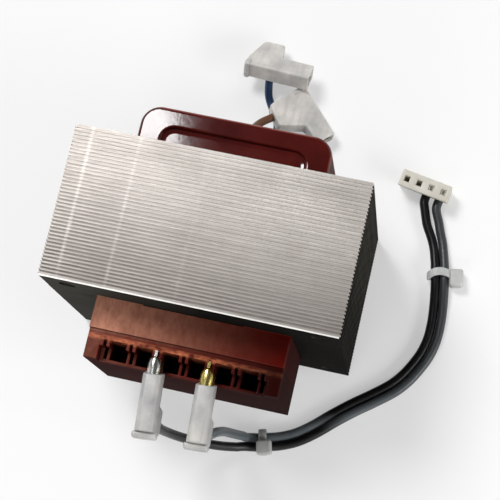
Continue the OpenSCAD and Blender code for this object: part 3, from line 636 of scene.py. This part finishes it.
def flag_cover(corner, end, slant, deep, straight, rim):
    """Sleeve as rounded sections along Y: its lower side follows the deep end's outline, its upper side
    the straight side's, then it turns in at the mouth and runs back as the hollow. The mouth leans back
    by the slant towards its top. A rim closes the outer end. Both outlines are measured from that end;
    the rim is its half width, low side and high side."""
    low = filleted([(end + t, h) for t, h in deep] + [(0, -MOUTH_Z)], 0.9)
    high = filleted([(end + t, h) for t, h in straight] + [(0, MOUTH_Z)], 0.3)
    along = np.unique(np.concatenate([low[:, 0], high[:, 0]]))
    along = along[(along > end + 0.5) & (along < -0.5)]
    sections = [(LIP, low[0, 1] + LIP, high[0, 1] - 0.1, end + 0.4)]
    sections += [(0.0, np.interp(t, *low.T), np.interp(t, *high.T), t) for t in along]
    sections += [(LIP * inward, -MOUTH_Z + LIP * inward, MOUTH_Z - LIP * inward, -LIP * (1 - up))
                 for inward, up in zip(*quarter(4))]
    rings = []
    for inset, z0, z1, t in sections:
        radius = min(corner, (z1 - z0) / 2 - 0.05)
        rings.append(standing(rounded_ring(-COVER_X + inset, COVER_X - inset, z0, z1, radius), t))
    hollow = rounded_ring(-HOLLOW_X, HOLLOW_X, -HOLLOW_Z, HOLLOW_Z, 0.6)
    rings += [standing(hollow, t) for t in (-0.1, -4, -12.5)]
    lean_from = 3
    for ring in rings:
        near_mouth = np.clip((ring[:, 1] + lean_from) / lean_from, 0, 1)
        ring[:, 1] -= slant * near_mouth * np.clip(ring[:, 2] / MOUTH_Z + 0.4, 0, 1.4)
    wide, rim_low, rim_high = rim
    rim_steps = ((0.9, 0), (0.6, 0), (0.3, 0.1), (0.1, 0.35), (0, 0.7), (0, 1.4), (0.08, 1.65), (0.3, 1.85))
    rim_plate = [standing(rounded_ring(inset - wide, wide - inset, rim_low + inset, rim_high - inset, 0.55),
                          end + t) for inset, t in rim_steps]
    return [loft(rings), loft(rim_plate)]


def receptacle(nose):
    """Push-on terminal: one sheet with both long edges rolled over, as a closed section carried along Y
    that narrows to the nose and swells behind it; a neck and the crimped barrel follow inside the cover."""
    bend, half_sheet = 1.72, 0.22
    curl = np.radians(np.linspace(-115, 180, 26))
    upper = np.stack([bend * np.cos(curl), 1.0 + bend * np.sin(curl)], -1)
    middle = np.vstack([upper, upper[::-1] * (1, -1)])
    ahead = np.gradient(middle, axis=0)
    out = np.stack([ahead[:, 1], -ahead[:, 0]], -1)
    out /= np.linalg.norm(out, axis=1, keepdims=True)
    section = np.vstack([middle + half_sheet * out, (middle - half_sheet * out)[::-1]])
    back = np.array([0, 0.12, 0.35, 0.8, 1.5, 2.4, 3.4, 4.4, 7.8])
    width = np.array([0.5, 0.62, 0.76, 0.9, 1.02, 1.08, 1.04, 0.98, 0.96])
    rings = [standing(section * (w, 0.75 + 0.25 * w), nose - t) for t, w in zip(back, width)]
    neck_section = rounded_ring(-0.3, 0.3, -2, 2, 0.1, 2)
    neck = [standing(neck_section, t) for t in (nose - 7.6, -12.7)]
    barrel = rounded_ring(-1.35, 1.35, *BARREL_Y, 1.34)
    return [loft(rings), loft(neck), loft(stacked([barrel, barrel], (-6.5, 2.5)))]


front_form = dict(corner=1.5, end=-18.8, slant=0.8, deep=((0, -1.8), (2.6, -9.8), (9, -9.8), (9.6, -3.4)),
                  straight=((0, 1.2), (1.8, 1.25), (2.1, 3.4)), rim=(3.45, -1.8, 1.8))
brown_form = dict(corner=0.7, end=-18.8, slant=0.0, deep=((0, -1.4), (0.9, -9.9), (8.4, -11.0), (12.2, -3.4)),
                  straight=((0, 2.6), (0.8, 3.4)), rim=(2.85, -1.4, 2.7))
blue_form = dict(corner=0.7, end=-20.9, slant=0.0, deep=((0, 0.6), (3.4, -9.8), (9.9, -9.8), (10.5, -3.4)),
                 straight=((0, 3.0), (0.6, 3.4)), rim=(2.9, 0.7, 3.8))

# Each flag: its nylon, its terminal's metal and slot, its form, where the terminal's nose is, and its place
flags = {
    "left": (cover_nylon, tin_plate, "tinned_metal", front_form, 3.9,
             dict(at=(-PITCH, BEND_Y, TAB_Z), spin=4.5, along=PUSHED_ON)),
    "right": (cover_nylon, brass_sheet, "brass_metal", front_form, 3.9,
              dict(at=(PITCH, BEND_Y, TAB_Z), spin=3.5, along=PUSHED_ON)),
    "brown": (mains_nylon, tin_plate, "tinned_metal", brown_form, -0.6,
              dict(at=(19.1, 48.25, 3.8304), spin=-137, roll=-104)),
    "blue": (mains_nylon, tin_plate, "tinned_metal", blue_form, -0.6,
             dict(at=(10.8, 66.45, 7.7185), spin=-93, roll=56)),
}
covers, terminals = {}, {}
for side, (nylon, metal, metal_slot, form, nose, stand) in flags.items():
    covers[side] = piece(f"{side}_cover_shell", placed(flag_cover(**form), **stand),
                         nylon, "cover_nylon", f"{side}_cover")
    terminals[side] = piece(f"{side}_rolled_terminal", placed(receptacle(nose), **stand),
                            metal, metal_slot, f"{side}_receptacle")


# Cable ties round the pair of leads

def tie(at, spin, bow, head_at, head_turn, head_size):
    """Strap as a flat rounded section carried round a rounded loop, with fine teeth across its outside
    and its middle bowed along the leads, and a head block with rounded edges."""
    half_wide, half_tall, half_strap, half_sheet, steps = 3.5, 1.95, 1.2, 0.45, 120
    loop = rounded_ring(-half_wide, half_wide, -half_tall, half_tall, 1.85, steps=16)
    step = np.linalg.norm(np.roll(loop, -1, 0) - loop, axis=1)
    walk = np.concatenate([[0], np.cumsum(step)])
    even = np.linspace(0, walk[-1], steps, endpoint=False)
    loop = np.stack([np.interp(even, walk, np.append(loop[:, k], loop[0, k])) for k in (0, 1)], -1)
    ahead = np.roll(loop, -1, 0) - np.roll(loop, 1, 0)
    out = np.stack([ahead[:, 1], -ahead[:, 0]], -1)
    out /= np.linalg.norm(out, axis=1, keepdims=True)
    section = rounded_ring(-half_strap, half_strap, -half_sheet, half_sheet, 0.2, steps=3)
    teeth = 0.05 * np.cos(np.arange(steps) * np.pi / 1.5)[:, None] * (section[None, :, 1] > 0)
    far = section[None, :, 1] + teeth
    bowed = bow * (1 - 2 * (loop[:, :1] / (half_wide + half_sheet)) ** 2)
    strap = np.stack([section[None, :, 0] + bowed,
                      loop[:, None, 0] + out[:, None, 0] * far, loop[:, None, 1] + out[:, None, 1] * far], -1)
    strap_shell = (strap.reshape(-1, 3), quads(*far.shape, wrap_rows=True))
    gone, risen = quarter(4)
    wide, thick, tall = np.asarray(head_size) / 2
    soft = 0.7
    levels = [(soft * inward, -tall + soft * (1 - up)) for inward, up in zip(gone[::-1], risen[::-1])]
    levels += [(soft * inward, tall - soft * (1 - up)) for inward, up in zip(gone, risen)]
    head, head_faces = loft(stacked(
        [rounded_ring(inset - wide, wide - inset, inset - thick, thick - inset, 0.9) for inset, _ in levels],
        [height for _, height in levels]))
    a = np.radians(head_turn)
    about_x = np.array([[1, 0, 0], [0, np.cos(a), -np.sin(a)], [0, np.sin(a), np.cos(a)]])
    return placed([strap_shell, (head @ about_x.T + np.asarray(head_at), head_faces)], at, spin)


front_tie = piece(
    "front_tie_strap",
    tie(at=(21.1, -47.35, 2.5), spin=15, bow=0.0,
        head_at=(0.5, -1.9, 3.3), head_turn=90, head_size=(4.6, 3.4, 4.4)),
    tie_nylon, "tie_nylon", "front_tie")
side_tie = piece(
    "side_tie_strap",
    tie(at=(62.7, 14.25, 2.5), spin=101, bow=0.8,
        head_at=(-1.1, -5.0, 0), head_turn=0, head_size=(5.4, 4.2, 4.6)),
    tie_nylon, "tie_nylon", "side_tie")


# Plug housing: block with four square ways, two keys at its rear, and two bent springs in each used way

PLUG_AT, PLUG_SPIN = (52.8, 39.6, 0), -10
WAY_PITCH, PLUG_HALF_Y, PLUG_H, PLUG_LEAN = 3.96, 2.7, 8.0, 1.6
WAY_HALF_X, WAY_HALF_Y, WAY_FLOOR = 0.8, 0.85, 3.0
ways_x = (np.arange(4) - 1.5) * WAY_PITCH
plug_wells = [(px - WAY_HALF_X, px + WAY_HALF_X, -WAY_HALF_Y, WAY_HALF_Y, WAY_FLOOR, 0.35) for px in ways_x]
plug_block = welled_block((-2 * WAY_PITCH, 2 * WAY_PITCH), (-PLUG_HALF_Y, PLUG_HALF_Y), 0.0, PLUG_H,
                          (0.35,) * 4, plug_wells, base_r=0.3)

# The front wall leans in towards the foot
block_points = plug_block[0]
sunk = 1 - block_points[:, 2] / PLUG_H
block_points[:, 1] += PLUG_LEAN * sunk * np.clip(-block_points[:, 1] / PLUG_HALF_Y, 0, 1)
keys = [loft(stacked([rounded_ring(px - 0.6, px + 0.6, 1.0, 3.4, 0.25)] * 2, (0.1, 5.2)))
        for px in (-WAY_PITCH, WAY_PITCH)]
leaf_out, leaf_z = (0.54, 0.5, 0.3, 0.09, 0.08, 0.2), (7.42, 7.38, 7.22, 7.0, 6.6, 5.6)
leaf_half, leaf_half_y = 0.06, 0.56
leaves = [loft(stacked([rounded_ring(px + side * out - leaf_half, px + side * out + leaf_half,
                                     -leaf_half_y, leaf_half_y, 0.03, 2) for out in leaf_out], leaf_z))
          for px in ways_x[2:] for side in (-1, 1)]
springs = piece("contact_springs", placed(leaves, PLUG_AT, PLUG_SPIN), contact_tin, "tinned_metal")
plug = piece("plug_shell", placed([plug_block] + keys, PLUG_AT, PLUG_SPIN),
             plug_nylon, "plug_nylon", "plug_housing")


# Floor: pale paper that the camera, mirrors and clear pieces see partly as plain white

FLOOR_REACH, FLOOR_Z, WHITE_SHARE = 6.0, -2e-5, 0.4
floor_mesh = bpy.data.meshes.new("floor")
floor_mesh.from_pydata([(sx * FLOOR_REACH, sy * FLOOR_REACH, FLOOR_Z)
                        for sx, sy in ((-1, -1), (1, -1), (1, 1), (-1, 1))], [], [(0, 1, 2, 3)])
floor = bpy.data.objects.new("floor", floor_mesh)
bpy.context.scene.collection.objects.link(floor)
paper = Finish("floor_paper", Base_Color=(0.84, 0.84, 0.84, 1), Roughness=0.9)
rays = paper.add("ShaderNodeLightPath").outputs
seen = paper.math("MAXIMUM", rays["Is Camera Ray"], rays["Is Glossy Ray"])
seen = paper.math("MAXIMUM", seen, rays["Is Transmission Ray"])
white = paper.add("ShaderNodeEmission").outputs[0]
mixed = {0: paper.times(seen, WHITE_SHARE), 1: paper.shader.outputs[0], 2: white}
paper.feed(paper.tree.nodes["Material Output"].inputs["Surface"],
           paper.add("ShaderNodeMixShader", mixed).outputs[0])
floor_mesh.materials.append(paper.material)


# Light: air that is brighter near the horizon than overhead, and three panels

world = bpy.data.worlds.new("studio")
bpy.context.scene.world = world
world.use_nodes = True
sky, sky_links = world.node_tree.nodes, world.node_tree.links
air = sky["Background"]
air.inputs["Color"].default_value = (1, 1, 1, 1)
look = sky.new("ShaderNodeSeparateXYZ")
level = sky.new("ShaderNodeMapRange")
for socket, value in zip(level.inputs[1:5], (0.15, 0.8, 0.8, 0.12)):
    socket.default_value = value
sky_links.new(sky.new("ShaderNodeTexCoord").outputs["Generated"], look.inputs[0])
sky_links.new(look.outputs[2], level.inputs[0])
sky_links.new(level.outputs[0], air.inputs["Strength"])


def soft_box(name, at, along, size, power):
    """Panel light at a place in metres that faces the part, its second side laid near a direction."""
    aim = (0, 0, 0.05)
    light = bpy.data.lights.new(name, "AREA")
    light.shape = "RECTANGLE"
    light.size, light.size_y = size
    light.energy = power
    obj = bpy.data.objects.new(name, light)
    bpy.context.scene.collection.objects.link(obj)
    back = np.array(at, float) - aim
    back /= np.linalg.norm(back)
    right = np.cross(along, back)
    right /= np.linalg.norm(right)
    frame_axes = np.eye(4)
    frame_axes[:3, :4] = np.column_stack([right, np.cross(back, right), back, at])
    obj.matrix_world = Matrix(frame_axes.tolist())


soft_box("window", (-0.493, 0.451, 1.155), (-0.35, 0.9, 0), (0.41, 0.44), 12.8)
soft_box("fill", (0.8, -0.3, 0.45), (0, 1, 0), (0.22, 0.6), 4.0)
soft_box("strip", (-0.16, -0.75, 0.7), (0, 1, 0), (0.4, 0.1), 1.5)


# Camera, where the photo was taken from

camera_data = bpy.data.cameras.new("camera")
camera = bpy.data.objects.new("camera", camera_data)
bpy.context.scene.collection.objects.link(camera)
bpy.context.scene.camera = camera
camera_data.sensor_width = 36
camera_data.lens = 119.24
camera_data.clip_start = 0.01
right = (0.97026, 0.22400, -0.09178)
up = (-0.20057, 0.95617, 0.21335)
forward = (-0.13554, 0.18860, -0.97266)
camera_at = (0.073497, -0.087096, 0.502566)
camera_rows = [[right[k], up[k], -forward[k], camera_at[k]] for k in range(3)]
camera.matrix_world = Matrix(camera_rows + [[0, 0, 0, 1]])

bpy.context.scene.view_settings.view_transform = "Standard"
